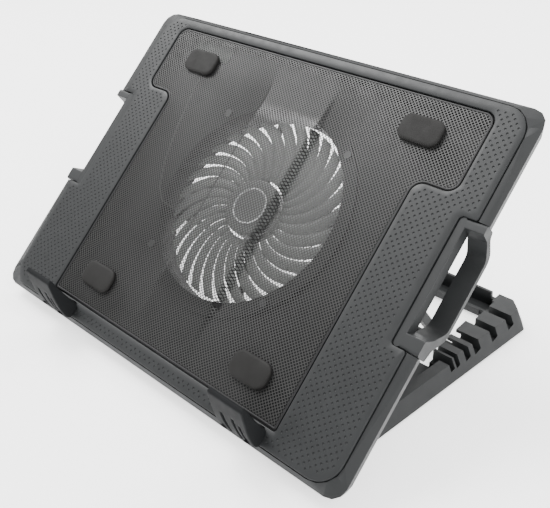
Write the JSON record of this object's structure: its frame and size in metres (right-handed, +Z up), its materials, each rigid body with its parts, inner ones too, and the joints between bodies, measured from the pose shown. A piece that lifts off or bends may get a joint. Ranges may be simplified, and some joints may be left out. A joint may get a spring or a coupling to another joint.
{
  "type": "laptop cooling pad",
  "caption": "Tilting laptop cooling pad: a perforated tray with a large fan, rubber pads, side handles and flip-up stops, held by a prop on a notched base.",
  "frame": {"origin": "centre of the footprint, on the table under the feet, with the tray at its steepest setting", "axes": "+X to the user's right along the tray's width, +Y away from the user, +Z up"},
  "size_m": [0.3856, 0.2696, 0.2018],
  "materials": {
    "shell_grey": "matte moulded",
    "dark_plastic": "satin moulded",
    "mesh_steel": "fine perforation, matte paint",
    "pad_rubber": "matte",
    "fan_plastic": "satin moulded",
    "bright_steel": "bright",
    "copper_winding": "enamelled winding",
    "board_green": "coated board"
  },
  "bodies": {
    "base": {"base_frame": "shell_grey", "hinge_pin_left": "bright_steel", "hinge_pin_right": "bright_steel", "base_foot_front_left": "pad_rubber", "base_foot_front_right": "pad_rubber", "base_foot_rear_left": "pad_rubber", "base_foot_rear_right": "pad_rubber"},
    "tray": {"tray_shell": "shell_grey", "top_frame": "shell_grey", "mesh_panel": "mesh_steel", "rubber_pad_front_left": "pad_rubber", "rubber_pad_front_right": "pad_rubber", "rubber_pad_rear_left": "pad_rubber", "rubber_pad_rear_right": "pad_rubber", "side_handle_left": "shell_grey", "side_handle_right": "shell_grey", "fan_housing": "dark_plastic", "motor_board": "board_green", "motor_stator": "copper_winding", "fan_bearing": "bright_steel", "fan_screw_1": "bright_steel", "fan_screw_2": "bright_steel", "fan_screw_3": "bright_steel", "fan_screw_4": "bright_steel", "case_screw_1": "bright_steel", "case_screw_2": "bright_steel", "case_screw_3": "bright_steel", "case_screw_4": "bright_steel", "case_screw_5": "bright_steel", "case_screw_6": "bright_steel", "usb_board": "board_green", "usb_socket_1": "bright_steel", "usb_socket_2": "bright_steel", "fan_lead": "dark_plastic", "stop_ear_left_inner": "dark_plastic", "stop_ear_left_outer": "dark_plastic", "stop_ear_right_inner": "dark_plastic", "stop_ear_right_outer": "dark_plastic", "prop_pin_left": "bright_steel", "prop_pin_right": "bright_steel"},
    "fan": {"fan_rotor": "fan_plastic", "rotor_magnet": "dark_plastic", "fan_shaft": "bright_steel", "fan_hub_cap": "fan_plastic"},
    "stop_left": {"front_stop_left": "dark_plastic", "stop_pin_left": "bright_steel"},
    "stop_right": {"front_stop_right": "dark_plastic", "stop_pin_right": "bright_steel"},
    "prop": {"prop_leg": "shell_grey"}
  },
  "joints": [
    {"name": "tray_tilt", "type": "hinge", "parent": "base", "child": "tray", "pos_m": [0, -0.08395, 0.018], "axis": [1, 0, 0], "range_deg": [-36.5, 0]},
    {"name": "prop_swing", "type": "hinge", "parent": "tray", "child": "prop", "pos_m": [0, -0.00162, 0.09491], "axis": [1, 0, 0], "range_deg": [0, 95]},
    {"name": "fan_spin", "type": "hinge", "parent": "tray", "child": "fan", "pos_m": [0, 0.00822, 0.09795], "axis": [0, -0.6428, 0.766], "continuous": true},
    {"name": "stop_left_fold", "type": "hinge", "parent": "tray", "child": "stop_left", "pos_m": [-0.1085, -0.11682, 0.02762], "axis": [1, 0, 0], "range_deg": [-68, 0]},
    {"name": "stop_right_fold", "type": "hinge", "parent": "tray", "child": "stop_right", "pos_m": [0.1085, -0.11682, 0.02762], "axis": [1, 0, 0], "range_deg": [-68, 0]}
  ],
  "couplings": [
    {"joint": "prop_swing", "follows": "tray_tilt", "ratio": -2.5973}
  ]
}
